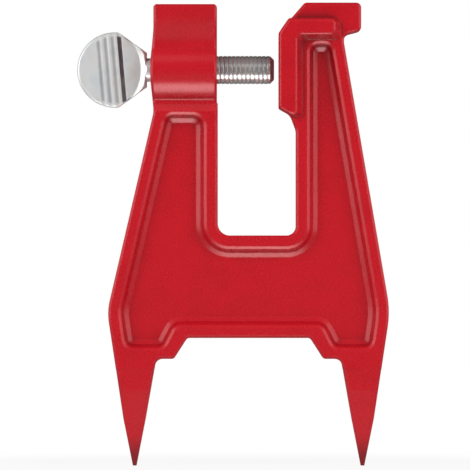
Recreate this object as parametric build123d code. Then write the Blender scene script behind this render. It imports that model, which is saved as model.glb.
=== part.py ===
from build123d import *
from math import atan2, degrees, hypot
import os

os.makedirs("parts", exist_ok=True)

# A chainsaw stump vise: a one-piece casting with two spikes that are driven into a stump,
# a fixed jaw on its right arm, and a thumb screw in its left arm that clamps the guide bar.
# X runs along the screw towards the fixed jaw, Y is the depth and Z is up.
# The origin lies on top of the stump, midway between the spikes and at half the depth.
# Sizes are in millimetres and angles in degrees.

# Heights above the stump
arch_height = 7.3
hip_height = 16.6
slot_floor_height = 43.1
arm_rim_height = 86.4

# Half depths of the casting, which is alike in front and behind
web_half_depth = 3.2
rim_half_depth = 7.0
head_half_depth = 11.0
pad_half_depth = 12.5
lower_neck_half_depth = 6.0
upper_neck_half_depth = 9.6

# Chamfer along the casting's long outer edges
outer_edge_chamfer = 0.8

# Slot between the arms, below the screw
slot_left = -10.8
slot_width = 27.3
slot_left_radius = 4.2
slot_right_radius = 3.2
slot_right = slot_left + slot_width

# Block on the left arm: the barrel boss for the screw between two necks, and the hammer pad
block_setback = 0.3
block_width = 22.1
block_bulge = 1.4
block_bulge_half_height = 14.0
block_bulge_radius = 56.0
block_bulge_end_radius = 30.0
block_foot_sink = 0.1
boss_radius = 12.0
boss_top_blend_radius = 4.0
boss_foot_blend_radius = 0.8
lower_neck_height = 2.6
upper_neck_height = 2.9
upper_neck_blend_radius = 7.0
pad_under_height = 6.8
pad_under_lean = 2.3
pad_side_height = 5.8
pad_corner_radius = 12.0
block_right = slot_left - block_setback
block_left = block_right - block_width
screw_height = arm_rim_height + lower_neck_height + boss_radius
upper_neck_foot = screw_height + (boss_radius**2 - upper_neck_half_depth**2) ** 0.5
upper_neck_top = upper_neck_foot + upper_neck_height
pad_side_foot = upper_neck_top + pad_under_height
pad_height = pad_side_foot + pad_side_height

# Top of the left arm, where its rims slope in to the lower neck of the block
arm_top_overhang = 0.1
arm_top_gap = 0.6
arm_top_radius = 4.0
arm_slope_height = 2.9
arm_slope_sink = 0.1
arm_top_height = arm_rim_height + arm_slope_height

# Head of the right arm: the thick layer that joins the jaw pad, and the bar behind it
head_rise = 0.7
crest_drop = 5.5
crest_setback = 3.5
crest_end_inset = 1.3
head_layer_height = 7.5
head_wall_run = 2.0
head_corner_chamfer = 1.2
head_edge_radius = 1.3
head_seat_depth = 1.5
bar_corner_setback = 9.1
bar_corner_radius = 2.0
lip_reach = 6.0
lip_depth = 9.8
lip_corner_radius = 1.8
lip_root_drop = 1.6
lip_root_radius = 2.2
right_arm_width = 16.8
right_arm_drop = 2.6
head_height = pad_height + head_rise
crest_height = head_height - crest_drop
head_base_height = crest_height - head_layer_height
right_arm_top = slot_right + right_arm_width
crest_right = right_arm_top - crest_end_inset
lip_end = right_arm_top + lip_reach
lip_underside_height = head_height - lip_depth
lip_root_height = lip_underside_height - lip_root_drop
right_arm_top_height = lip_root_height - right_arm_drop

# Fixed jaw: a thick pad on the right arm, facing the screw
jaw_reach = 6.0
jaw_top_drop = 5.0
jaw_bottom_drop = 13.5
jaw_corner_radius = 1.0
jaw_top_radius = 5.0
jaw_pad_width = 6.2
jaw_foot_drop = 3.1
undercut_width = 4.0
undercut_drop = 2.3
undercut_radius = 4.5
heel_drop = 5.4
heel_radius = 5.0
jaw_face = slot_right - jaw_reach
jaw_top_height = crest_height - jaw_top_drop
jaw_bottom_height = screw_height - jaw_bottom_drop
undercut_height = jaw_bottom_height - undercut_drop
heel_height = undercut_height - heel_drop

# Hips, where the arms turn in to the spikes
hip_half_width = 49.4
left_hip_radius = 20.0
right_hip_radius = 34.0

# Spikes, each with a short stub as deep as the rims and a blade that thins to its tip
spike_length = 37.4
spike_stub_length = 3.6
spike_stub_inset = 0.03
spike_root_width = 14.6
spike_root_radius = 2.8
spike_root_corner = 1.6
spike_outer_lean = 2.5
spike_inner_lean = 3.7
spike_upper_depth = 11.0
spike_upper_half_depth = 6.6
spike_mid_depth = 21.0
spike_mid_width = 7.75
spike_mid_half_depth = 4.9
spike_mid_corner = 1.0
spike_tip_setback = 6.9
spike_tip_width = 1.3
spike_tip_half_depth = 0.7
spike_tip_corner = 0.4
spike_root_outer = hip_half_width - spike_outer_lean
spike_root_inner = spike_root_outer - spike_root_width
spike_mid_inner = spike_root_inner + spike_inner_lean
spike_tip_inner = spike_root_inner + spike_tip_setback

# Shoulders beside the spikes, which rest on the stump, and the arch between them
shoulder_width = 6.2
shoulder_corner_radius = 1.4
arch_side_run = 4.7
arch_corner_radius = 1.6
arch_foot_half_width = spike_root_inner - shoulder_width
arch_half_width = arch_foot_half_width - arch_side_run

# Pockets in front and behind, which leave a web with rims round it
slot_rim_width = 4.5
outer_rim_width = 4.2
floor_rim_width = 4.3
pocket_foot_height = 3.6
pocket_foot_inset = 3.6
pocket_top_gap = 0.8
pocket_draft = 28.0
pocket_floor_chamfer = 1.1
pocket_mouth_chamfer = 0.7
pocket_corner_radius = 3.5
pocket_foot_radius = 3.5
pocket_top_radius = 4.5

# Stud of the M10 thumb screw, and the bore that it runs in
stud_radius = 4.88
stud_root_sink = 0.2
stud_tip_gap = 1.6
stud_tip_chamfer = 1.4
bore_clearance = 0.06
bore_countersink = 0.6
bore_radius = stud_radius + bore_clearance
stud_root = block_left + stud_root_sink
stud_tip = jaw_face - stud_tip_gap

# Thumb tab on the outer end of the stud
neck_radius = 4.1
neck_length = 2.6
tab_centre_setback = 11.2
tab_radius = 13.15
tab_half_thickness = 2.3
tab_edge_chamfer = 1.0
tab_cut_half_height = 14.1
tab_cut_radius = 5.0
tab_shoulder_half_height = 6.0
tab_shoulder_radius = 1.5
tab_ramp_length = 6.4
tab_ramp_height = 12.0
tab_ramp_corner = 2.0
tab_ramp_sink = 0.1
tab_shoulder = stud_root - neck_length
tab_centre = tab_shoulder - tab_centre_setback

# Serrations across both faces of the tab
rib_count = 5
rib_pitch = 2.56
rib_radius = 0.75
rib_lift = 0.25
rib_tilt = -4.0
rib_field_offset = -1.3
rib_field_radius = 11.6

# Overrun of each cutting tool past the face that it cuts, and the least length that counts
overrun = 2.0
tolerance = 0.001


def outline(corners):
    """Return a flat face from its corners, each given as (across, up, corner radius)."""
    points = [(across, up) for across, up, radius in corners]
    radii = [radius for across, up, radius in corners]
    return make_face(FilletPolyline(*points, radius=radii, close=True))


def front_prism(face, depth):
    """Return a front-view face made solid for an equal depth in front and behind."""
    return extrude(Plane.XZ * face, amount=depth, both=True)


def both_sides(solid):
    """Return a solid of the front half together with its mirror image behind."""
    return solid + mirror(solid, about=Plane.XZ)


def on_line(line, height):
    """Return the x at a height on the line through two (x, z) points."""
    (x0, z0), (x1, z1) = line
    return x0 + (x1 - x0) * (height - z0) / (z1 - z0)


# Slanting edges of the silhouette, each as two (x, z) points, with the right spike's own
left_arm_edge = (
    (block_left - arm_top_overhang, arm_rim_height - arm_top_gap),
    (-hip_half_width, hip_height),
)
right_arm_edge = ((right_arm_top, right_arm_top_height), (hip_half_width, hip_height))
spike_outer_edge = ((hip_half_width, hip_height), (spike_root_outer, 0))
spike_inner_edge = ((spike_root_inner, 0), (spike_mid_inner, -spike_mid_depth))
stub_outer = on_line(spike_outer_edge, -spike_stub_length)
stub_inner = on_line(spike_inner_edge, -spike_stub_length)


def silhouette():
    """Return the front view of the arms, crossbar, spike stubs and head."""
    spike_side = [
        (stub_outer, -spike_stub_length, 0),
        (stub_inner, -spike_stub_length, 0),
        (spike_root_inner, 0, spike_root_radius),
        (arch_foot_half_width, 0, shoulder_corner_radius),
        (arch_half_width, arch_height, arch_corner_radius),
    ]
    other_spike_side = [(-x, z, radius) for x, z, radius in reversed(spike_side)]
    slot_and_jaw = [
        (slot_left, arm_top_height, 0),
        (slot_left, slot_floor_height, slot_left_radius),
        (slot_right, slot_floor_height, slot_right_radius),
        (slot_right, heel_height, heel_radius),
        (jaw_face + undercut_width, undercut_height, undercut_radius),
        (jaw_face, jaw_bottom_height, jaw_corner_radius),
        (jaw_face, jaw_top_height, jaw_corner_radius),
    ]
    head = [
        (jaw_face + bar_corner_setback, head_height, bar_corner_radius),
        (lip_end, head_height, lip_corner_radius),
        (lip_end, lip_underside_height, lip_corner_radius),
        (right_arm_top, lip_root_height, lip_root_radius),
        (right_arm_top, right_arm_top_height, lip_root_radius),
    ]
    right_hip = [(hip_half_width, hip_height, right_hip_radius)]
    left_hip = [(-hip_half_width, hip_height, left_hip_radius)]
    left_arm_top = [
        (*left_arm_edge[0], arm_top_radius),
        (left_arm_edge[0][0], arm_top_height, 0),
    ]
    upper = slot_and_jaw + head + right_hip
    return outline(upper + spike_side + other_spike_side + left_hip + left_arm_top)


def pocket():
    """Return the tool that cuts the front pocket down to the web, with drafted walls."""
    left_rim = [(x + outer_rim_width, z) for x, z in left_arm_edge]
    right_rim = [(x - outer_rim_width, z) for x, z in right_arm_edge]
    left_top = arm_rim_height - pocket_top_gap
    hip = hip_half_width - outer_rim_width
    foot_outer = on_line(spike_outer_edge, pocket_foot_height) - outer_rim_width
    floor_corner = arch_half_width + outer_rim_width
    lower = [
        (foot_outer, pocket_foot_height, pocket_corner_radius),
        (arch_foot_half_width + pocket_foot_inset, pocket_foot_height, pocket_foot_radius),
        (floor_corner, arch_height + floor_rim_width, pocket_corner_radius),
    ]
    other_lower = [(-x, z, radius) for x, z, radius in reversed(lower)]
    slot_side = [
        (slot_left - slot_rim_width, left_top, pocket_top_radius),
        (
            slot_left - slot_rim_width,
            slot_floor_height - slot_rim_width,
            slot_left_radius + slot_rim_width,
        ),
        (
            slot_right + slot_rim_width,
            slot_floor_height - slot_rim_width,
            slot_right_radius + slot_rim_width,
        ),
        (slot_right + slot_rim_width, right_arm_top_height, pocket_corner_radius),
    ]
    right_side = [
        (on_line(right_rim, right_arm_top_height), right_arm_top_height, pocket_corner_radius),
        (hip, hip_height, right_hip_radius - outer_rim_width),
    ]
    left_side = [
        (-hip, hip_height, left_hip_radius - outer_rim_width),
        (on_line(left_rim, left_top), left_top, pocket_foot_radius),
    ]
    mouth = Plane.XZ.offset(rim_half_depth) * outline(
        slot_side + right_side + lower + other_lower + left_side
    )
    hollow = extrude(mouth, amount=web_half_depth - rim_half_depth)
    walls = [face for face in hollow.faces() if abs(face.normal_at().Y) < tolerance]
    hollow = draft(walls, Plane.XZ.offset(rim_half_depth), -pocket_draft)
    floor = hollow.faces().sort_by(Axis.Y)[-1]
    hollow = chamfer(floor.edges(), length=pocket_floor_chamfer)
    return hollow + extrude(mouth, amount=overrun)


def arm_slope():
    """Return the tool that slopes the front rims of the left arm in to the lower neck."""
    neck_side = arm_slope_sink - lower_neck_half_depth
    outer = -rim_half_depth - overrun
    above = arm_top_height + overrun
    corners = [
        (-rim_half_depth, arm_rim_height, 0),
        (outer, arm_rim_height, 0),
        (outer, above, 0),
        (neck_side, above, 0),
        (neck_side, arm_top_height, 0),
    ]
    start = Plane.YZ.offset(slot_left + overrun)
    return extrude(start * outline(corners), amount=block_left - slot_left - 2 * overrun)


def frame_plate():
    """Return the arms and crossbar as a web with chamfered rims in front and behind."""
    plate = front_prism(silhouette(), rim_half_depth)
    sides = plate.faces().sort_by(Axis.Y)
    stub_end = tolerance - spike_stub_length
    outer_edges = [
        edge
        for edge in sides[0].edges() + sides[-1].edges()
        if edge.bounding_box().max.Z > stub_end
    ]
    plate = chamfer(outer_edges, length=outer_edge_chamfer)
    front_pocket = pocket()
    plate = plate - front_pocket - mirror(front_pocket, about=Plane.XZ)
    sides = plate.faces().sort_by(Axis.Y)
    mouths = sides[0].inner_wires()[0].edges() + sides[-1].inner_wires()[0].edges()
    plate = chamfer(mouths, length=pocket_mouth_chamfer)
    return plate - both_sides(arm_slope())


def block_side_view():
    """Return the side view of the screw block: pad, necks and the barrel boss."""
    half = [
        (lower_neck_half_depth, arm_rim_height + block_foot_sink, 0),
        (lower_neck_half_depth, screw_height, 0),
        (upper_neck_half_depth, screw_height, 0),
        (upper_neck_half_depth, upper_neck_top, upper_neck_blend_radius),
        (upper_neck_half_depth + pad_under_lean, pad_side_foot, pad_corner_radius),
        (pad_half_depth, pad_height, 0),
    ]
    other_half = [(-y, z, radius) for y, z, radius in reversed(half)]
    side_view = outline(half + other_half) + Pos(0, screw_height) * Circle(boss_radius)
    corners = [
        vertex
        for vertex in side_view.vertices()
        if abs(hypot(vertex.X, vertex.Y - screw_height) - boss_radius) < tolerance
    ]
    top_corners = [vertex for vertex in corners if vertex.Y > screw_height]
    foot_corners = [vertex for vertex in corners if vertex.Y < screw_height]
    side_view = fillet(top_corners, radius=boss_top_blend_radius)
    return fillet(foot_corners, radius=boss_foot_blend_radius)


def screw_block():
    """Return the block on the left arm, bulging outward round the screw."""
    foot_height = arm_rim_height + block_foot_sink
    bulge_top = screw_height + block_bulge_half_height
    front_view = outline(
        [
            (block_left, foot_height, 0),
            (block_left - block_bulge, screw_height, block_bulge_radius),
            (block_left, bulge_top, block_bulge_end_radius),
            (block_left, pad_height, 0),
            (block_right, pad_height, 0),
            (block_right, foot_height, 0),
        ]
    )
    wide = front_prism(front_view, pad_half_depth + overrun)
    reach = block_left - block_bulge - overrun
    deep = extrude(Plane.YZ * block_side_view(), amount=reach)
    block = wide & deep
    along = block.edges().filter_by(Axis.X) + block.edges().filter_by(Axis.Y)
    corners = [edge for edge in block.edges() if edge not in along]
    top = block.faces().sort_by(Axis.Z)[-1]
    return chamfer(corners + top.edges(), length=outer_edge_chamfer)


def head_layer():
    """Return the thick front layer of the head with the jaw pad, its walls drafted."""
    base_right = jaw_face + jaw_pad_width + head_wall_run
    corners = [
        (jaw_face, jaw_bottom_height, jaw_corner_radius),
        (jaw_face, jaw_top_height, jaw_top_radius),
        (jaw_face + crest_setback, crest_height, jaw_corner_radius),
        (crest_right, crest_height, 0),
        (crest_right, head_base_height, 0),
        (base_right, head_base_height, 0),
        (base_right, jaw_bottom_height - jaw_foot_drop, 0),
        (jaw_face + undercut_width, undercut_height, undercut_radius),
    ]
    foot_depth = rim_half_depth - head_seat_depth
    thickness = head_half_depth - foot_depth
    layer = extrude(Plane.XZ.offset(foot_depth) * outline(corners), amount=thickness)
    walls = [
        face
        for face in layer.faces()
        if face.normal_at().X > 1 - tolerance or face.normal_at().Z < tolerance - 1
    ]
    draft_angle = degrees(atan2(head_wall_run, head_half_depth - rim_half_depth))
    layer = draft(walls, Plane.XZ.offset(rim_half_depth), draft_angle)
    middle = -foot_depth - thickness / 2
    slanted = [
        edge
        for edge in layer.edges()
        if edge.length > thickness + tolerance and abs(edge.center().Y - middle) < tolerance
    ]
    layer = chamfer(slanted, length=head_corner_chamfer)
    front = layer.faces().sort_by(Axis.Y)[0]
    return fillet(front.edges(), radius=head_edge_radius)


def spike_section(inner, width, half_depth, corner, depth):
    """Return a level rounded rectangle across the right spike at a depth in the stump."""
    place = Pos(inner + width / 2, 0, -depth)
    return place * RectangleRounded(width, 2 * half_depth, corner)


def spike_blade():
    """Return the right spike below its stub, thinning in both directions to its tip."""
    root_inner = stub_inner + spike_stub_inset
    root_width = stub_outer - stub_inner - 2 * spike_stub_inset
    root = spike_section(
        root_inner,
        root_width,
        rim_half_depth - spike_stub_inset,
        spike_root_corner,
        spike_stub_length,
    )
    share = (spike_upper_depth - spike_stub_length) / (spike_mid_depth - spike_stub_length)
    upper = spike_section(
        root_inner + share * (spike_mid_inner - root_inner),
        root_width + share * (spike_mid_width - root_width),
        spike_upper_half_depth,
        spike_root_corner,
        spike_upper_depth,
    )
    middle = spike_section(
        spike_mid_inner,
        spike_mid_width,
        spike_mid_half_depth,
        spike_mid_corner,
        spike_mid_depth,
    )
    tip = spike_section(
        spike_tip_inner, spike_tip_width, spike_tip_half_depth, spike_tip_corner, spike_length
    )
    return loft([root, upper, middle, tip], ruled=True)


def screw_bore():
    """Return the tool for the bore through the block, countersunk towards the slot."""
    left_end = block_left - block_bulge - overrun
    length = block_right + overrun - left_end
    axis = Rot(0, 90, 0)
    hole = Pos(left_end + length / 2, 0, screw_height) * axis * Cylinder(bore_radius, length)
    countersink = Cone(bore_radius, bore_radius + bore_countersink, bore_countersink)
    sink_centre = block_right - bore_countersink / 2
    return hole + Pos(sink_centre, 0, screw_height) * axis * countersink


def vise_frame():
    """Return the whole casting."""
    casting = frame_plate() + screw_block() + both_sides(head_layer())
    blade = spike_blade()
    casting = casting + blade + mirror(blade, about=Plane.YZ)
    return casting - screw_bore()


def screw_stud():
    """Return the stud, plain to the crests of its thread, with a chamfered tip."""
    length = stud_tip - stud_root
    middle = Pos(stud_root + length / 2, 0, screw_height)
    stud = middle * Rot(0, 90, 0) * Cylinder(stud_radius, length)
    return chamfer(stud.edges().sort_by(Axis.X)[-1], length=stud_tip_chamfer)


def tab_front_view():
    """Return the tab's outline: a disc with its inner corners cut off to two shoulders."""
    outside = tab_radius + overrun
    upper = [
        (tab_centre - outside, outside, 0),
        (tab_centre, outside, 0),
        (tab_centre, tab_cut_half_height, 0),
        (tab_shoulder, tab_shoulder_half_height, tab_shoulder_radius),
    ]
    lower = [(x, -z, radius) for x, z, radius in reversed(upper)]
    spade = Pos(tab_centre, 0) * Circle(tab_radius) & outline(upper + lower)
    cut_corners = [
        vertex
        for vertex in spade.vertices()
        if abs(hypot(vertex.X - tab_centre, vertex.Y) - tab_radius) < tolerance
    ]
    return fillet(cut_corners, radius=tab_cut_radius)


def tab_neck():
    """Return the round neck at the stud and the ramp that flattens it into the tab."""
    half_thickness = tab_half_thickness - tab_ramp_sink
    round_end = Plane.YZ.offset(tab_shoulder) * Circle(neck_radius)
    flat_end = Plane.YZ.offset(tab_shoulder - tab_ramp_length) * RectangleRounded(
        2 * half_thickness, tab_ramp_height, tab_ramp_corner
    )
    length = stud_root - tab_shoulder
    neck = Pos(tab_shoulder + length / 2, 0) * Rot(0, 90, 0) * Cylinder(neck_radius, length)
    return loft([round_end, flat_end]) + neck


def tab_serrations():
    """Return the ribs across the tab's front, trimmed to a round field."""
    depth = tab_half_thickness + rib_lift - rib_radius
    field_middle = Pos(tab_centre + rib_field_offset, 0) * Rot(0, rib_tilt, 0)
    ribs = Part()
    for index in range(rib_count):
        shift = (index - (rib_count - 1) / 2) * rib_pitch
        ribs += field_middle * Pos(shift, -depth, 0) * Cylinder(rib_radius, 2 * tab_radius)
    field = Pos(tab_centre, 0) * Circle(rib_field_radius)
    return ribs & front_prism(field, tab_half_thickness + overrun)


def thumb_tab():
    """Return the flat serrated tab with the neck that joins it to the stud."""
    plate = front_prism(tab_front_view(), tab_half_thickness)
    sides = plate.faces().sort_by(Axis.Y)
    plate = chamfer(sides[0].edges() + sides[-1].edges(), length=tab_edge_chamfer)
    tab = plate + tab_neck() + both_sides(tab_serrations())
    return Pos(0, 0, screw_height) * tab


if __name__ == "__main__":
    export_step(vise_frame(), "parts/vise_frame.step")
    export_step(screw_stud(), "parts/screw_stud.step")
    export_step(thumb_tab(), "parts/thumb_tab.step")
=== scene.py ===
import logging
from dataclasses import dataclass, field
from enum import Enum
from math import cos, hypot, pi, sin, tan
from typing import Any, Callable

import bpy
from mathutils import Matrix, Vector


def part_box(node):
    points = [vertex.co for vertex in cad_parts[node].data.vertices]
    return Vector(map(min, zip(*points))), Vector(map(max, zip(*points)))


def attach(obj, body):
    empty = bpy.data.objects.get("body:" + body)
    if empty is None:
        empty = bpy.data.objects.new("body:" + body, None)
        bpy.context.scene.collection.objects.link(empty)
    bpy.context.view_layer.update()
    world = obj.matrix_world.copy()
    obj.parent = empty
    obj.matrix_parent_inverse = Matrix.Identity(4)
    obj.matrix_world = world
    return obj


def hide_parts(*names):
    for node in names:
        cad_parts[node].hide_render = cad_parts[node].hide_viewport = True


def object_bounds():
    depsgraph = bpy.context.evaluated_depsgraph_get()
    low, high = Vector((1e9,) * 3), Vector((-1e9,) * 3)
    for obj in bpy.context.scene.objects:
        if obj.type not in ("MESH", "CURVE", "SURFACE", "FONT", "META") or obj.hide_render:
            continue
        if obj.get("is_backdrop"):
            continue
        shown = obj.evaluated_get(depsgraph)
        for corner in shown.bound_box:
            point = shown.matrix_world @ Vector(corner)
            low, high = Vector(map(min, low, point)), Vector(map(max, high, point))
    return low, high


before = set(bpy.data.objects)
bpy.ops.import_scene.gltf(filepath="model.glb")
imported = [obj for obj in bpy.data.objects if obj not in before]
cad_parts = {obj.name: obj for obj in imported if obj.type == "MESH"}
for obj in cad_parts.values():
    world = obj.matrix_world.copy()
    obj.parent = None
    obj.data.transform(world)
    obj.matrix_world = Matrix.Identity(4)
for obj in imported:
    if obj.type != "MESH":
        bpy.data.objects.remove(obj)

# The look of the chainsaw stump vise: a red coated casting, a zinc plated thumb screw,
# and a plain pale studio round them. All lengths are in metres.

MILLIMETRE = 0.001
DEGREE = pi / 180

log = logging.getLogger("stump_vise")

Colour = tuple[float, float, float]
Place = tuple[float, float, float]
Limits = tuple[float, float]

WHITE: Colour = (1.0, 1.0, 1.0)
# What a noise texture gives on average
NOISE_MIDDLE = 0.5
# Vertices closer than this are the same one
WELD = 0.01 * MILLIMETRE


class Hand(Enum):
    """The right or left hand, for the way a thread winds and the side that a lamp stands on."""

    RIGHT = 1
    LEFT = -1


class Side(Enum):
    """The front or back, of the tab and of the studio, as an azimuth in degrees."""

    FRONT = 0
    BACK = 180

    @property
    def outward(self) -> int:
        """Return the side's direction along Y."""
        return 1 if self is Side.BACK else -1


class Rays(Enum):
    """The rays that a lamp is seen by."""

    GLOSSY = "glossy"
    DIFFUSE = "diffuse"


class NodeName(Enum):
    """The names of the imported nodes."""

    FRAME = "vise_frame"
    STUD = "screw_stud"
    TAB = "thumb_tab"


class Signal:
    """A shader socket that takes part in sums, so that a mask reads as an expression."""

    def __init__(self, bench: "Bench", socket: bpy.types.NodeSocket) -> None:
        """Keep the socket with the bench that adds nodes beside it."""
        self.bench = bench
        self.socket = socket

    def _maths(self, operation: str, first: Any, second: Any) -> "Signal":
        """Add a Math node.

        Args:
            operation: The node's operation.
            first: A signal or number.
            second: A signal or number.

        Returns:
            The node's result.
        """
        return self.bench.signal("ShaderNodeMath", {"operation": operation}, {0: first, 1: second})

    def __add__(self, other: Any) -> "Signal":
        """Return self plus other."""
        return self._maths("ADD", self, other)

    __radd__ = __add__

    def __sub__(self, other: Any) -> "Signal":
        """Return self minus other."""
        return self._maths("SUBTRACT", self, other)

    def __rsub__(self, other: Any) -> "Signal":
        """Return other minus self."""
        return self._maths("SUBTRACT", other, self)

    def __mul__(self, other: Any) -> "Signal":
        """Return self times other."""
        return self._maths("MULTIPLY", self, other)

    __rmul__ = __mul__

    def __pow__(self, other: Any) -> "Signal":
        """Return self to the power of other."""
        return self._maths("POWER", self, other)

    def larger(self, other: Any) -> "Signal":
        """Return the larger of two values."""
        return self._maths("MAXIMUM", self, other)

    def ramp(self, low: float, high: float) -> "Signal":
        """Return a smooth step.

        Args:
            low: The value that gives 0.
            high: The value that gives 1.

        Returns:
            The step, from 0 to 1.
        """
        return self.bench.signal(
            "ShaderNodeMapRange",
            {"interpolation_type": "SMOOTHSTEP"},
            {"Value": self, "From Min": low, "From Max": high},
        )


class Bench:
    """Adds nodes to one node tree."""

    edge_samples: int = 6
    # Samples for the closed-in measure that the painted shade in recesses uses
    painted_shade_samples: int = 8
    # How far the softened normal leans, as 1 less its cosine, where the edge mask starts and is full
    edge_limits: Limits = (0.002, 0.08)

    def __init__(self, tree: bpy.types.NodeTree) -> None:
        """Clear the tree.

        Args:
            tree: The node tree of a material or a world.
        """
        self.tree = tree
        tree.nodes.clear()

    def node(self, kind: str, settings: dict[str, Any], inputs: dict[Any, Any]) -> bpy.types.Node:
        """Add any node.

        Args:
            kind: The node's type.
            settings: Its properties, which are set first.
            inputs: The value, signal or output socket for each input, by name or number.

        Returns:
            The new node.
        """
        made = self.tree.nodes.new(kind)
        for name, value in settings.items():
            setattr(made, name, value)
        for key, value in inputs.items():
            if isinstance(value, Signal):
                value = value.socket
            if isinstance(value, bpy.types.NodeSocket):
                self.tree.links.new(value, made.inputs[key])
            else:
                made.inputs[key].default_value = value
        return made

    def signal(self, kind: str, settings: dict[str, Any], inputs: dict[Any, Any], output: Any = 0) -> Signal:
        """Add a node and return one of its outputs as a signal.

        Args:
            kind: The node's type.
            settings: Its properties.
            inputs: Its values and links.
            output: The output's name or number.

        Returns:
            The chosen output.
        """
        return Signal(self, self.node(kind, settings, inputs).outputs[output])

    def place(self, stretch: Place = (1.0, 1.0, 1.0)) -> Signal:
        """Return Object coordinates.

        Args:
            stretch: The scale along each axis.

        Returns:
            The scaled coordinates.
        """
        plain = self.signal("ShaderNodeTexCoord", {}, {}, "Object")
        return self.signal("ShaderNodeMapping", {}, {"Vector": plain, "Scale": stretch})

    def noise(self, size: float, where: Signal, detail: float = 2.0, rough: float = 0.5) -> Signal:
        """Return noise with features of about one size.

        Args:
            size: The size of a feature in metres.
            where: The coordinates.
            detail: How many finer layers are added.
            rough: How strong the finer layers are.

        Returns:
            The noise, from 0 to 1.
        """
        inputs = {"Vector": where, "Scale": 1 / size, "Detail": detail, "Roughness": rough}
        return self.signal("ShaderNodeTexNoise", {}, inputs)

    def tint(self, share: Any, first: Any, second: Any) -> Signal:
        """Mix two colours.

        Args:
            share: The share of the second colour.
            first: A colour or signal.
            second: A colour or signal.

        Returns:
            The mixed colour.
        """
        colours = [value if isinstance(value, Signal) else (*value, 1.0) for value in (first, second)]
        settings = {"data_type": "RGBA", "clamp_factor": True}
        return self.signal("ShaderNodeMix", settings, {0: share, 6: colours[0], 7: colours[1]}, 2)

    def rounded(self, radius: float) -> Signal:
        """Return the normal as if each edge had a small radius."""
        return self.signal("ShaderNodeBevel", {"samples": self.edge_samples}, {"Radius": radius})

    def edges(self, soft_normal: Signal) -> Signal:
        """Return a mask that is 0 on open faces and rises where the softened normal turns away.

        Args:
            soft_normal: The normal from the rounded method.

        Returns:
            The mask, from 0 to 1.
        """
        plain = self.signal("ShaderNodeNewGeometry", {}, {}, "Normal")
        dot = self.signal(
            "ShaderNodeVectorMath", {"operation": "DOT_PRODUCT"}, {0: soft_normal, 1: plain}, "Value"
        )
        return (1 - dot).ramp(*self.edge_limits)

    def closed_in(self, reach: float) -> Signal:
        """Return how much of the view from the surface is blocked close by.

        Args:
            reach: How far off a surface still counts, in metres.

        Returns:
            The blocked share, from 0 to 1.
        """
        settings = {"samples": self.painted_shade_samples}
        return 1 - self.signal("ShaderNodeAmbientOcclusion", settings, {"Distance": reach}, "AO")

    def bump(self, height: Signal, distance: float, normal: Signal) -> Signal:
        """Raise the surface.

        Args:
            height: The height, from 0 to 1.
            distance: How far a height of 1 stands out, in metres.
            normal: The normal below the bump.

        Returns:
            The bumped normal.
        """
        return self.signal("ShaderNodeBump", {}, {"Height": height, "Distance": distance, "Normal": normal})

    def axes(self, vector: Signal) -> tuple[Signal, Signal, Signal]:
        """Return the three parts of a vector."""
        parts = self.node("ShaderNodeSeparateXYZ", {}, {0: vector})
        return tuple(Signal(self, parts.outputs[index]) for index in range(3))

    def surface(self, shader: bpy.types.Node) -> None:
        """Link a shader to the material's output."""
        self.node("ShaderNodeOutputMaterial", {}, {"Surface": shader.outputs[0]})


def new_material(name: str) -> tuple[bpy.types.Material, Bench]:
    """Make an empty material.

    Args:
        name: The material's name.

    Returns:
        The material and the bench for its nodes.
    """
    material = bpy.data.materials.new(name)
    material.use_nodes = True
    return material, Bench(material.node_tree)


@dataclass(frozen=True)
class PowderCoat:
    """Glossy red powder coat over a rough casting, with shade painted into its recesses."""

    name: str = "red_powder_coat"
    colour: Colour = (0.55, 0.006, 0.015)
    deep_colour: Colour = (0.49, 0.003, 0.010)
    thin_colour: Colour = (0.59, 0.012, 0.023)
    # The colour of the painted shade that darkens recesses
    painted_shade_colour: Colour = (0.19, 0.006, 0.010)
    ior: float = 1.5
    roughness: float = 0.27
    mottle_roughness: float = 0.10
    peel_roughness: float = 0.08
    edge_radius: float = 0.5 * MILLIMETRE
    thin_share: float = 0.45
    mottle_size: float = 9 * MILLIMETRE
    mottle_limits: Limits = (0.42, 0.72)
    mottle_share: float = 0.6
    wave_size: float = 4.5 * MILLIMETRE
    wave_height: float = 0.06 * MILLIMETRE
    peel_size: float = 0.8 * MILLIMETRE
    peel_height: float = 0.012 * MILLIMETRE
    # Painted shade: the coat turns dark where nearby surfaces close it in, standing in for shade in recesses
    painted_shade_reach: float = 14 * MILLIMETRE
    painted_shade_limits: Limits = (0.08, 0.50)
    painted_shade_share: float = 0.9

    def material(self) -> bpy.types.Material:
        """Build the material.

        Returns:
            The finished material.
        """
        material, bench = new_material(self.name)
        where = bench.place()
        mottle = bench.noise(self.mottle_size, where, detail=3.0)
        peel = bench.noise(self.peel_size, where, detail=1.5)
        soft = bench.rounded(self.edge_radius)
        deep = mottle.ramp(*self.mottle_limits) * self.mottle_share
        thin = bench.edges(soft) * self.thin_share
        # Painted shade, darker where the surface is closed in by nearby parts
        painted_shade = bench.closed_in(self.painted_shade_reach).ramp(*self.painted_shade_limits) * self.painted_shade_share
        colour = bench.tint(deep, self.colour, self.deep_colour)
        colour = bench.tint(thin, colour, self.thin_colour)
        colour = bench.tint(painted_shade, colour, self.painted_shade_colour)
        rough = self.roughness + (mottle - NOISE_MIDDLE) * self.mottle_roughness
        rough = rough + (peel - NOISE_MIDDLE) * self.peel_roughness
        waves = bench.bump(bench.noise(self.wave_size, where), self.wave_height, soft)
        normal = bench.bump(peel, self.peel_height, waves)
        shader = bench.node(
            "ShaderNodeBsdfPrincipled",
            {},
            {
                "Base Color": colour,
                "Roughness": rough,
                "Normal": normal,
                "IOR": self.ior,
            },
        )
        bench.surface(shader)
        return material


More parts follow.
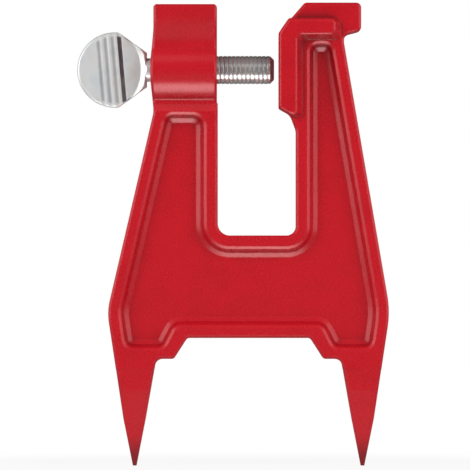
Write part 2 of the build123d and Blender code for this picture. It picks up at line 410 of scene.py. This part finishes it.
@dataclass(frozen=True)
class ZincPlate:
    """Bright zinc plate on forged steel, with fine tumbling marks."""

    name: str = "zinc_plate"
    colour: Colour = (0.86, 0.87, 0.87)
    blue_colour: Colour = (0.72, 0.78, 0.81)
    warm_colour: Colour = (0.80, 0.77, 0.73)
    blue_limits: Limits = (0.45, 0.70)
    blue_share: float = 0.6
    warm_limits: Limits = (0.50, 0.72)
    warm_share: float = 0.5
    metallic: float = 0.4
    roughness: float = 0.34
    mark_roughness: float = 0.16
    cloud_roughness: float = 0.08
    edge_radius: float = 0.25 * MILLIMETRE
    cloud_size: float = 6 * MILLIMETRE
    mark_size: float = 0.5 * MILLIMETRE
    mark_stretch: Place = (1.0, 1.0, 0.16)
    mark_height: float = 0.01 * MILLIMETRE
    dent_size: float = 2.2 * MILLIMETRE
    dent_height: float = 0.05 * MILLIMETRE
    # Painted shade that darkens the grooves of a flat round face towards their bottom; a reach of 0 leaves
    # it out
    groove_shade_colour: Colour = (0.13, 0.09, 0.10)
    groove_shade_face: float = 0.0
    groove_shade_start: float = 0.02 * MILLIMETRE
    groove_shade_depth: float = 0.5 * MILLIMETRE
    groove_shade_middle: Place = (0.0, 0.0, 0.0)
    groove_shade_reach: float = 0.0
    groove_shade_fade_share: float = 0.93
    groove_shade_share: float = 0.7
    groove_shade_cloud_share: float = 0.5

    def groove_shade(self, bench: Bench, cloud: Signal) -> Signal:
        """Return the painted shade's mask, which rises towards the bottom of the grooves.

        Args:
            bench: The bench to work on.
            cloud: Noise that makes the painted shade patchy.

        Returns:
            The mask, from 0 to 1.
        """
        parts = zip(bench.axes(bench.place()), self.groove_shade_middle)
        right, back, above = (part - middle for part, middle in parts)
        depth = self.groove_shade_face - (back * back) ** 0.5
        reach = (right * right + above * above) ** 0.5
        inside = 1 - reach.ramp(self.groove_shade_reach * self.groove_shade_fade_share, self.groove_shade_reach)
        patches = self.groove_shade_share + cloud * self.groove_shade_cloud_share
        return depth.ramp(self.groove_shade_start, self.groove_shade_depth) * inside * patches

    def material(self) -> bpy.types.Material:
        """Build the material.

        Returns:
            The finished material.
        """
        material, bench = new_material(self.name)
        where = bench.place()
        cloud = bench.noise(self.cloud_size, where)
        marks = bench.noise(self.mark_size, bench.place(self.mark_stretch), detail=3.0, rough=0.6)
        soft = bench.rounded(self.edge_radius)
        blue = cloud.ramp(*self.blue_limits) * self.blue_share
        warm = (1 - cloud).ramp(*self.warm_limits) * self.warm_share
        colour = bench.tint(blue, self.colour, self.blue_colour)
        colour = bench.tint(warm, colour, self.warm_colour)
        # Painted shade in the tab's grooves
        if self.groove_shade_reach:
            colour = bench.tint(self.groove_shade(bench, cloud), colour, self.groove_shade_colour)
        rough = self.roughness + (marks - NOISE_MIDDLE) * self.mark_roughness
        rough = rough + (cloud - NOISE_MIDDLE) * self.cloud_roughness
        dents = bench.bump(bench.noise(self.dent_size, where, detail=1.0), self.dent_height, soft)
        normal = bench.bump(marks, self.mark_height, dents)
        shader = bench.node(
            "ShaderNodeBsdfPrincipled",
            {},
            {
                "Base Color": colour,
                "Metallic": self.metallic,
                "Roughness": rough,
                "Normal": normal,
            },
        )
        bench.surface(shader)
        return material


@dataclass(frozen=True)
class PaleFloor:
    """Plain white floor that the camera sees as white, with the object's shadow kept."""

    name: str = "pale_floor"
    colour: Colour = (0.82, 0.82, 0.82)
    white_share: float = 0.86
    mirrored_share: float = 0.85
    mirrored_near: float = 0.40
    mirrored_far: float = 0.06
    fade_start: float = 0.07
    fade_end: float = 0.17
    grain_size: float = 3 * MILLIMETRE
    grain_share: float = 0.1

    def material(self) -> bpy.types.Material:
        """Build the material.

        Returns:
            The finished material.
        """
        material, bench = new_material(self.name)
        grain = bench.noise(self.grain_size, bench.place())
        colour = bench.tint(grain * self.grain_share, self.colour, WHITE)
        lit = bench.node("ShaderNodeBsdfDiffuse", {}, {"Color": colour})
        path = bench.node("ShaderNodeLightPath", {}, {})
        camera = Signal(bench, path.outputs["Is Camera Ray"])
        mirrored = Signal(bench, path.outputs["Is Glossy Ray"])
        mirrored = mirrored.larger(Signal(bench, path.outputs["Is Transmission Ray"]))
        across, along, _ = bench.axes(bench.place())
        fade = ((across * across + along * along) ** 0.5).ramp(self.fade_start, self.fade_end)
        plain = camera * self.white_share + mirrored * self.mirrored_share
        white_factor = plain + (1 - plain) * fade * camera
        near, far = ((level, level, level) for level in (self.mirrored_near, self.mirrored_far))
        shown = bench.tint(mirrored, WHITE, bench.tint(fade, near, far))
        white = bench.node("ShaderNodeEmission", {}, {"Color": shown, "Strength": 1.0})
        mixed = bench.node(
            "ShaderNodeMixShader",
            {},
            {0: white_factor, 1: lit.outputs[0], 2: white.outputs[0]},
        )
        bench.surface(mixed)
        return material


def deselect_all() -> None:
    """Leave edit mode and deselect every object."""
    if bpy.context.object and bpy.context.object.mode != "OBJECT":
        bpy.ops.object.mode_set(mode="OBJECT")
    bpy.ops.object.select_all(action="DESELECT")


def take(piece: bpy.types.Object) -> None:
    """Select one object alone and make it active.

    Args:
        piece: The object.
    """
    deselect_all()
    piece.select_set(True)
    bpy.context.view_layer.objects.active = piece


def edit(piece: bpy.types.Object, select: bool = True) -> None:
    """Open a piece in edit mode.

    Args:
        piece: The piece.
        select: Whether all of its mesh is selected, or none of it.
    """
    take(piece)
    bpy.ops.object.mode_set(mode="EDIT")
    bpy.ops.mesh.select_all(action="SELECT" if select else "DESELECT")


def leave_edit() -> None:
    """Go back to object mode."""
    bpy.ops.object.mode_set(mode="OBJECT")


def select_vertices(piece: bpy.types.Object, test: Callable[[Vector], bool]) -> None:
    """Select the vertices whose place passes a test, and go on in edit mode.

    Args:
        piece: The piece, in object or edit mode.
        test: Takes a vertex's place and says whether it is selected.
    """
    edit(piece, select=False)
    bpy.ops.mesh.select_mode(type="VERT")
    leave_edit()
    for vertex in piece.data.vertices:
        vertex.select = test(vertex.co)
    bpy.ops.object.mode_set(mode="EDIT")


def modify(piece: bpy.types.Object, kind: str, settings: dict[str, Any]) -> None:
    """Add a modifier and apply it.

    Args:
        piece: The piece.
        kind: The modifier's type.
        settings: Its properties.
    """
    take(piece)
    modifier = piece.modifiers.new(kind.lower(), kind)
    for name, value in settings.items():
        setattr(modifier, name, value)
    bpy.ops.object.modifier_apply(modifier=modifier.name)


def combine(piece: bpy.types.Object, tool: bpy.types.Object, operation: str) -> None:
    """Cut a piece with a tool or add the tool to it, and delete the tool.

    Args:
        piece: The piece.
        tool: The closed solid that is used up.
        operation: UNION, DIFFERENCE or INTERSECT.
    """
    modify(piece, "BOOLEAN", {"operation": operation, "object": tool, "solver": "EXACT"})
    take(tool)
    bpy.ops.object.delete()
    take(piece)


def settle(piece: bpy.types.Object) -> None:
    """Put the piece's place into its mesh, so that its object sits at the origin, unturned."""
    take(piece)
    bpy.ops.object.transform_apply(location=True, rotation=True, scale=True)


def dress(piece: bpy.types.Object, material: bpy.types.Material) -> None:
    """Give a piece one material.

    Args:
        piece: The piece.
        material: The material for all of it.
    """
    if piece.material_slots:
        for slot in piece.material_slots:
            slot.material = material
    else:
        piece.data.materials.append(material)


@dataclass
class Casting:
    """The red casting: spikes, ribbed frame, screw block, fixed jaw and head."""

    finish: PowderCoat = field(default_factory=PowderCoat)

    def build(self) -> bpy.types.Object:
        """Dress the casting's own solid.

        Returns:
            The casting.
        """
        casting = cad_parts[NodeName.FRAME.value]
        dress(casting, self.finish.material())
        return casting


@dataclass
class SerratedTab:
    """The thumb screw's tab: a disc with grooves across both faces, which ramps up to a round neck."""

    cut_half_height: float = 14.1 * MILLIMETRE
    shoulder_setback: float = 11.2 * MILLIMETRE
    shoulder_half_height: float = 6.0 * MILLIMETRE
    half_thickness: float = 2.3 * MILLIMETRE
    rim: float = 1.0 * MILLIMETRE
    collar_inset: float = 0.06 * MILLIMETRE
    collar_sink: float = 0.35 * MILLIMETRE
    overlap: float = 0.3 * MILLIMETRE
    dish_radius: float = 16.35 * MILLIMETRE
    dish_setback: float = 18.4 * MILLIMETRE
    dish_slope: float = 40 * DEGREE
    groove_tilt: float = -5 * DEGREE
    groove_count: int = 4
    groove_pitch: float = 2.5 * MILLIMETRE
    groove_radius: float = 2.2 * MILLIMETRE
    groove_depth: float = 0.26 * MILLIMETRE
    rod_length_share: float = 3.0
    deep_offset: float = 2.5 * MILLIMETRE
    deep_radius: float = 0.75 * MILLIMETRE
    deep_depth: float = 0.85 * MILLIMETRE
    rim_angles: tuple[float, ...] = (30 * DEGREE, 60 * DEGREE, 90 * DEGREE)
    outline_vertices: int = 120
    dish_vertices: int = 160
    groove_vertices: int = 32
    neck_vertices: int = 64
    smooth_angle: float = 35 * DEGREE

    def __post_init__(self) -> None:
        """Read the tab's place and size from the frame."""
        low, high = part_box(NodeName.TAB.value)
        self.radius = (high[2] - low[2]) / 2
        self.middle = (low[0] + self.radius, (low[1] + high[1]) / 2, (low[2] + high[2]) / 2)
        self.shoulder = self.middle[0] + self.shoulder_setback
        self.neck_end = high[0]
        self.neck_radius = (high[1] - low[1]) / 2

    def slab(self, half_thickness: float, rim: float, inset: float = 0.0) -> bpy.types.Object:
        """Make a solid with the tab's outline and rounded rims.

        Args:
            half_thickness: Half of its depth.
            rim: The radius of the rims.
            inset: How far it stays inside the outline.

        Returns:
            The solid, at its place.
        """
        x, y, z = self.middle
        deselect_all()
        bpy.ops.mesh.primitive_circle_add(
            vertices=self.outline_vertices,
            radius=self.radius - inset,
            fill_type="NGON",
            location=self.middle,
            rotation=(90 * DEGREE, 0, 0),
        )
        slab = bpy.context.object
        settle(slab)
        drop = self.cut_half_height - self.shoulder_half_height
        length = hypot(drop, self.shoulder_setback)
        cuts = [((self.shoulder - inset, y, z), (1, 0, 0))]
        for hand in Hand:
            normal = (drop / length, 0, hand.value * self.shoulder_setback / length)
            cuts.append(((x, y, z + hand.value * (self.cut_half_height - inset)), normal))
        edit(slab)
        for place, normal in cuts:
            bpy.ops.mesh.select_all(action="SELECT")
            bpy.ops.mesh.bisect(plane_co=place, plane_no=normal, clear_outer=True)
        bpy.ops.mesh.select_all(action="SELECT")
        bpy.ops.mesh.extrude_region_move(
            TRANSFORM_OT_translate={"value": (0, rim - half_thickness, 0)}
        )
        inward = forward = 0.0
        for angle in self.rim_angles:
            bpy.ops.mesh.inset(thickness=rim * (1 - cos(angle)) - inward)
            bpy.ops.transform.translate(value=(0, forward - rim * sin(angle), 0))
            inward, forward = rim * (1 - cos(angle)), rim * sin(angle)
        select_vertices(slab, lambda place: abs(place.y - y) < WELD / 10)
        bpy.ops.mesh.delete(type="ONLY_FACE")
        leave_edit()
        modify(slab, "MIRROR", {"use_axis": (False, True, False), "merge_threshold": WELD})
        edit(slab)
        bpy.ops.mesh.remove_doubles(threshold=WELD / 5)
        bpy.ops.mesh.normals_make_consistent(inside=False)
        leave_edit()
        return slab

    def dish(self, side: Side) -> bpy.types.Object:
        """Make the cone that leaves a ramp between the tab's face and its neck.

        Args:
            side: The face that it cuts.

        Returns:
            The cone, which widens outwards from the tab's middle plane.
        """
        depth = 2 * self.neck_radius
        start = self.dish_radius - (self.half_thickness + self.overlap) / tan(self.dish_slope)
        bpy.ops.mesh.primitive_cone_add(
            vertices=self.dish_vertices,
            radius1=start,
            radius2=start + depth / tan(self.dish_slope),
            depth=depth,
            location=(
                self.shoulder - self.dish_setback,
                self.middle[1] + side.outward * (depth / 2 - self.overlap),
                self.middle[2],
            ),
            rotation=(-side.outward * 90 * DEGREE, 0, 0),
        )
        dish = bpy.context.object
        settle(dish)
        return dish

    def groove(self, side: Side, across: float, radius: float, depth: float) -> bpy.types.Object:
        """Make the rod that cuts one groove.

        Args:
            side: The face that it cuts.
            across: How far right of the tab's middle it runs.
            radius: The rod's radius.
            depth: How deep it cuts.

        Returns:
            The rod.
        """
        bpy.ops.mesh.primitive_cylinder_add(
            vertices=self.groove_vertices,
            radius=radius,
            depth=self.rod_length_share * self.radius,
            location=(
                self.middle[0] + across,
                self.middle[1] + side.outward * (self.half_thickness + radius - depth),
                self.middle[2],
            ),
            rotation=(0, self.groove_tilt, 0),
        )
        groove = bpy.context.object
        settle(groove)
        return groove

    def cut_grooves(self, tab: bpy.types.Object) -> None:
        """Cut one deep groove across each face, and soft ones to the left of it.

        Args:
            tab: The disc that they are cut in.
        """
        for side in Side:
            rod = self.groove(side, self.deep_offset, self.deep_radius, self.deep_depth)
            combine(tab, rod, "DIFFERENCE")
            for step in range(1, self.groove_count):
                offset = self.deep_offset - step * self.groove_pitch
                rod = self.groove(side, offset, self.groove_radius, self.groove_depth)
                combine(tab, rod, "DIFFERENCE")

    def collar(self) -> bpy.types.Object:
        """Make the thick part of the tab: two ramps that run up to the round neck.

        Returns:
            The collar, closed, at its place.
        """
        collar = self.slab(self.neck_radius - self.collar_sink, self.rim, self.collar_inset)
        start = self.shoulder - self.shoulder_half_height / 2
        bpy.ops.mesh.primitive_cylinder_add(
            vertices=self.neck_vertices,
            radius=self.neck_radius,
            depth=self.neck_end - start,
            location=((self.neck_end + start) / 2, self.middle[1], self.middle[2]),
            rotation=(0, 90 * DEGREE, 0),
        )
        neck = bpy.context.object
        settle(neck)
        combine(collar, neck, "UNION")
        for side in Side:
            combine(collar, self.dish(side), "DIFFERENCE")
        return collar

    def build(self) -> bpy.types.Object:
        """Build the tab as two closed shells in one piece: the disc and the collar.

        Returns:
            The tab, at its place.
        """
        tab = self.slab(self.half_thickness, self.rim)
        tab.name = "serrated_tab"
        self.cut_grooves(tab)
        collar = self.collar()
        take(tab)
        collar.select_set(True)
        bpy.ops.object.join()
        bpy.ops.object.shade_smooth_by_angle(angle=self.smooth_angle)
        modify(tab, "WEIGHTED_NORMAL", {"keep_sharp": True})
        return tab


@dataclass
class ThumbScrew:
    """The zinc plated screw: a threaded stud and the serrated tab that turns it."""

    tab: SerratedTab = field(default_factory=SerratedTab)
    thread_finish: ZincPlate = field(
        default_factory=lambda: ZincPlate(
            name="rolled_zinc",
            colour=(0.55, 0.55, 0.53),
            blue_colour=(0.49, 0.52, 0.54),
            warm_colour=(0.52, 0.49, 0.46),
            metallic=0.72,
            roughness=0.28,
        )
    )
    hand: Hand = Hand.RIGHT
    pitch: float = 1.5 * MILLIMETRE
    crest_share: float = 0.60
    root_share: float = 0.08
    flank_angle: float = 50 * DEGREE
    steps: int = 40
    tip_chamfer: float = 1.4 * MILLIMETRE
    blank_clearance: float = 0.05 * MILLIMETRE
    blank_vertices: int = 64
    smooth_angle: float = 25 * DEGREE
    material_slot: str = "zinc_steel"
    turning_body: str = "tab"

    def __post_init__(self) -> None:
        """Read the stud's place and size from the frame."""
        low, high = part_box(NodeName.STUD.value)
        self.root_end = low[0]
        self.tip_end = high[0]
        self.axis_y = (low[1] + high[1]) / 2
        self.axis_z = (low[2] + high[2]) / 2
        self.crest_radius = (high[2] - low[2]) / 2
        self.flank_run = self.pitch * (1 - self.crest_share - self.root_share) / 2
        self.root_radius = self.crest_radius - self.flank_run / tan(self.flank_angle)

    def profile(self) -> list[tuple[float, float]]:
        """Return one pitch of the thread as (step along the axis, step out from it)."""
        depth = self.crest_radius - self.root_radius
        return [
            (self.pitch * self.root_share, 0.0),
            (self.flank_run, depth),
            (self.pitch * self.crest_share, 0.0),
            (self.flank_run, -depth),
        ]

    def thread(self) -> bpy.types.Object:
        """Wind the thread on the stud and cut its ends.

        Returns:
            The threaded stud, closed, along the X axis.
        """
        start = self.root_end - 2 * self.pitch
        turns = int((self.tip_end - start) / self.pitch) + 2
        deselect_all()
        bpy.ops.mesh.primitive_plane_add(size=self.pitch, location=(start, 0, self.root_radius))
        stud = bpy.context.object
        stud.name = "threaded_stud"
        settle(stud)
        edit(stud)
        bpy.ops.mesh.merge(type="CENTER")
        for along, outward in self.profile():
            bpy.ops.mesh.extrude_vertices_move(TRANSFORM_OT_translate={"value": (along, 0, outward)})
        leave_edit()
        modify(
            stud,
            "SCREW",
            {
                "axis": "X",
                "angle": 360 * DEGREE * self.hand.value,
                "screw_offset": self.pitch,
                "iterations": turns,
                "steps": self.steps,
                "render_steps": self.steps,
                "use_merge_vertices": True,
                "merge_threshold": WELD,
            },
        )
        edit(stud)
        bpy.ops.mesh.remove_doubles(threshold=WELD / 2)
        for end, outward in ((self.root_end, -1), (self.tip_end, 1)):
            bpy.ops.mesh.select_all(action="SELECT")
            bpy.ops.mesh.bisect(
                plane_co=(end, 0, 0), plane_no=(outward, 0, 0), use_fill=True, clear_outer=True
            )
        bpy.ops.mesh.select_all(action="SELECT")
        bpy.ops.mesh.normals_make_consistent(inside=False)
        leave_edit()
        return stud

    def tip_blank(self) -> bpy.types.Object:
        """Turn the blank whose chamfered end the thread is trimmed to.

        Returns:
            A cylinder a little wider than the crests, chamfered at the tip.
        """
        clear = self.blank_clearance
        length = self.tip_end - self.root_end
        bpy.ops.mesh.primitive_cylinder_add(
            vertices=self.blank_vertices,
            radius=self.crest_radius + clear,
            depth=length + clear,
            location=(self.tip_end - (length + clear) / 2, 0, 0),
            rotation=(0, 90 * DEGREE, 0),
        )
        blank = bpy.context.object
        settle(blank)
        select_vertices(blank, lambda place: place.x > self.tip_end - clear)
        bpy.ops.mesh.bevel(offset=self.tip_chamfer + clear, segments=1, affect="EDGES")
        leave_edit()
        return blank

    def tab_finish(self) -> ZincPlate:
        """Return the tab's plate, with shade painted into its grooves."""
        return ZincPlate(
            groove_shade_face=self.tab.half_thickness,
            groove_shade_middle=self.tab.middle,
            groove_shade_reach=self.tab.radius - self.tab.rim,
        )

    def build(self) -> list[bpy.types.Object]:
        """Build the stud and the tab, dress both and let the stud turn with the tab.

        Returns:
            The stud and the tab.
        """
        stud = self.thread()
        combine(stud, self.tip_blank(), "INTERSECT")
        stud.location = (0, self.axis_y, self.axis_z)
        settle(stud)
        bpy.ops.object.shade_smooth_by_angle(angle=self.smooth_angle)
        dress(stud, self.thread_finish.material())
        tab = self.tab.build()
        dress(tab, self.tab_finish().material())
        for piece, node in ((stud, NodeName.STUD), (tab, NodeName.TAB)):
            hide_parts(node.value)
            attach(piece, self.turning_body)
        return [stud, tab]


@dataclass(frozen=True)
class Softbox:
    """A soft lamp aimed at one point, which either shows in glossy surfaces or lights them.

    The azimuth is the angle from straight in front towards the right.
    """

    name: str
    width: float
    height: float
    radiance: float
    distance: float
    azimuth: float = 0.0
    elevation: float = 0.0
    spread: float = 120 * DEGREE
    rays: Rays = Rays.GLOSSY

    def build(self, target: Vector) -> bpy.types.Object:
        """Hang the lamp round a point and turn it to the point.

        Args:
            target: The point that it is aimed at.

        Returns:
            The lamp.
        """
        deselect_all()
        level = cos(self.elevation)
        outward = Vector((level * sin(self.azimuth), -level * cos(self.azimuth), sin(self.elevation)))
        bpy.ops.object.light_add(
            type="AREA",
            location=target + outward * self.distance,
            rotation=outward.to_track_quat("Z", "Y").to_euler(),
        )
        lamp = bpy.context.object
        lamp.name = self.name
        lamp.data.shape = "RECTANGLE"
        lamp.data.size = self.width
        lamp.data.size_y = self.height
        lamp.data.spread = self.spread
        lamp.data.energy = self.radiance * pi * self.width * self.height
        lamp.visible_camera = False
        lamp.visible_diffuse = self.rays is Rays.DIFFUSE
        lamp.visible_glossy = self.rays is Rays.GLOSSY
        return lamp


@dataclass(frozen=True)
class Surroundings:
    """The world: white to the camera, a ring of white walls in reflections, soft light elsewhere."""

    gloss_front: float = 0.12
    gloss_ring: float = 0.62
    gloss_back: float = 0.03
    gloss_top_fall: float = 0.80
    ring_limits: Limits = (0.16, 0.55)
    back_limits: Limits = (0.0, 0.8)
    top_limits: Limits = (0.35, 0.95)
    light_above: float = 0.20
    light_below: float = 0.10
    light_limits: Limits = (-0.6, 0.8)

    def build(self) -> None:
        """Make the world and give it to the scene."""
        world = bpy.data.worlds.new("studio_world")
        world.use_nodes = True
        bpy.context.scene.world = world
        bench = Bench(world.node_tree)
        direction = bench.signal("ShaderNodeTexCoord", {}, {}, "Generated")
        _, along, up = bench.axes(direction)
        ring = (1 + along).ramp(*self.ring_limits)
        shown = self.gloss_front + ring * (self.gloss_ring - self.gloss_front)
        shown = shown + along.ramp(*self.back_limits) * (self.gloss_back - self.gloss_ring)
        shown = shown * (1 - up.ramp(*self.top_limits) * self.gloss_top_fall)
        path = bench.node("ShaderNodeLightPath", {}, {})
        camera = Signal(bench, path.outputs["Is Camera Ray"])
        mirrored = Signal(bench, path.outputs["Is Glossy Ray"])
        mirrored = mirrored.larger(Signal(bench, path.outputs["Is Transmission Ray"]))
        rise = up.ramp(*self.light_limits)
        light = self.light_below + rise * (self.light_above - self.light_below)
        unseen = mirrored * shown + (1 - mirrored) * light
        strength = camera + (1 - camera) * unseen
        background = bench.node(
            "ShaderNodeBackground", {}, {"Color": (*WHITE, 1.0), "Strength": strength}
        )
        bench.node("ShaderNodeOutputWorld", {}, {"Surface": background.outputs[0]})


@dataclass
class Studio:
    """The floor, the soft lamps, the surroundings and the camera."""

    # The photograph's frame: its width, the place of the origin in it, and one pixel's size
    frame_pixels: float = 470.0
    origin_pixel_across: float = 248.6
    origin_pixel_down: float = 358.6
    pixel_size: float = 0.35 * MILLIMETRE
    camera_distance: float = 2.4
    sensor_width: float = 0.036
    floor_radius: float = 0.6
    floor_rim: float = 0.02
    floor_thickness: float = 6 * MILLIMETRE
    floor_vertices: int = 96
    low_width: float = 0.40
    low_height: float = 0.066
    low_radiance: float = 0.98
    low_distance: float = 0.11
    low_elevation: float = -61 * DEGREE
    low_spread: float = 78 * DEGREE
    high_width: float = 0.50
    high_height: float = 0.17
    high_radiance: float = 0.25
    high_distance: float = 0.45
    high_elevation: float = 38 * DEGREE
    side_width: float = 0.34
    side_height: float = 0.55
    left_radiance: float = 0.80
    right_radiance: float = 0.55
    side_distance: float = 0.45
    side_azimuth: float = 70 * DEGREE
    fill_size: float = 0.9
    fill_radiance: float = 1.9
    back_fill_radiance: float = 0.7
    fill_distance: float = 1.3
    fill_azimuth: float = 48 * DEGREE
    fill_elevation: float = 22 * DEGREE
    camera_reach: float = 100.0
    finish: PaleFloor = field(default_factory=PaleFloor)
    surroundings: Surroundings = field(default_factory=Surroundings)

    def floor(self, height: float) -> bpy.types.Object:
        """Lay the floor.

        Args:
            height: The height of its top.

        Returns:
            The floor.
        """
        deselect_all()
        bpy.ops.mesh.primitive_circle_add(
            vertices=self.floor_vertices,
            radius=self.floor_radius,
            fill_type="NGON",
            location=(0, 0, height),
        )
        floor = bpy.context.object
        floor.name = "floor"
        settle(floor)
        edit(floor)
        bpy.ops.mesh.inset(thickness=self.floor_rim)
        bpy.ops.mesh.select_all(action="SELECT")
        bpy.ops.mesh.extrude_region_move(
            TRANSFORM_OT_translate={"value": (0, 0, -self.floor_thickness)}
        )
        bpy.ops.mesh.select_all(action="SELECT")
        bpy.ops.mesh.normals_make_consistent(inside=False)
        leave_edit()
        dress(floor, self.finish.material())
        floor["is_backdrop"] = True
        return floor

    def lamps(self, boss: Vector) -> list[bpy.types.Object]:
        """Hang the softboxes: a low, a high and two at the sides to show, and four large ones to light.

        Args:
            boss: The middle of the screw's boss, which they are aimed at.

        Returns:
            The lamps.
        """
        boxes = [
            Softbox(
                name="low_softbox",
                width=self.low_width,
                height=self.low_height,
                radiance=self.low_radiance,
                distance=self.low_distance,
                elevation=self.low_elevation,
                spread=self.low_spread,
            ),
            Softbox(
                name="high_softbox",
                width=self.high_width,
                height=self.high_height,
                radiance=self.high_radiance,
                distance=self.high_distance,
                elevation=self.high_elevation,
            ),
        ]
        for hand, radiance in ((Hand.RIGHT, self.right_radiance), (Hand.LEFT, self.left_radiance)):
            boxes.append(
                Softbox(
                    name=f"{hand.name.lower()}_softbox",
                    width=self.side_width,
                    height=self.side_height,
                    radiance=radiance,
                    distance=self.side_distance,
                    azimuth=hand.value * self.side_azimuth,
                )
            )
        for side, radiance in ((Side.FRONT, self.fill_radiance), (Side.BACK, self.back_fill_radiance)):
            for hand in Hand:
                boxes.append(
                    Softbox(
                        name=f"{side.name.lower()}_{hand.name.lower()}_fill",
                        width=self.fill_size,
                        height=self.fill_size,
                        radiance=radiance,
                        distance=self.fill_distance,
                        azimuth=side.value * DEGREE + hand.value * self.fill_azimuth,
                        elevation=self.fill_elevation,
                        rays=Rays.DIFFUSE,
                    )
                )
        return [box.build(boss) for box in boxes]

    def camera(self) -> bpy.types.Object:
        """Place the camera as the photograph was taken, level and straight from the front.

        Returns:
            The camera.
        """
        middle = self.frame_pixels / 2
        across = (middle - self.origin_pixel_across) * self.pixel_size
        up = (self.origin_pixel_down - middle) * self.pixel_size
        deselect_all()
        bpy.ops.object.camera_add(
            location=(across, -self.camera_distance, up), rotation=(90 * DEGREE, 0, 0)
        )
        camera = bpy.context.object
        camera.name = "camera"
        frame_width = self.frame_pixels * self.pixel_size
        camera.data.sensor_width = self.sensor_width / MILLIMETRE
        camera.data.lens = self.sensor_width / MILLIMETRE * self.camera_distance / frame_width
        camera.data.clip_end = self.camera_reach
        bpy.context.scene.camera = camera
        return camera

    def build(self, floor_height: float, boss: Vector) -> None:
        """Set up the studio.

        Args:
            floor_height: The height that the object stands on.
            boss: The middle of the screw's boss, which the lamps are aimed at.
        """
        self.floor(floor_height)
        self.lamps(boss)
        self.surroundings.build()
        self.camera()
        bpy.context.scene.view_settings.view_transform = "Standard"


def main() -> None:
    """Build the vise and the studio."""
    logging.basicConfig(level=logging.INFO, format="%(message)s")
    cad_low, cad_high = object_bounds()
    casting = Casting().build()
    log.info("dressed %s", casting.name)
    for piece in ThumbScrew().build():
        log.info("built %s, %d faces", piece.name, len(piece.data.polygons))
    stud_low, stud_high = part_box(NodeName.STUD.value)
    boss = Vector((0, 0, (stud_low[2] + stud_high[2]) / 2))
    Studio().build(cad_low[2], boss)


if __name__ == "__main__":
    main()
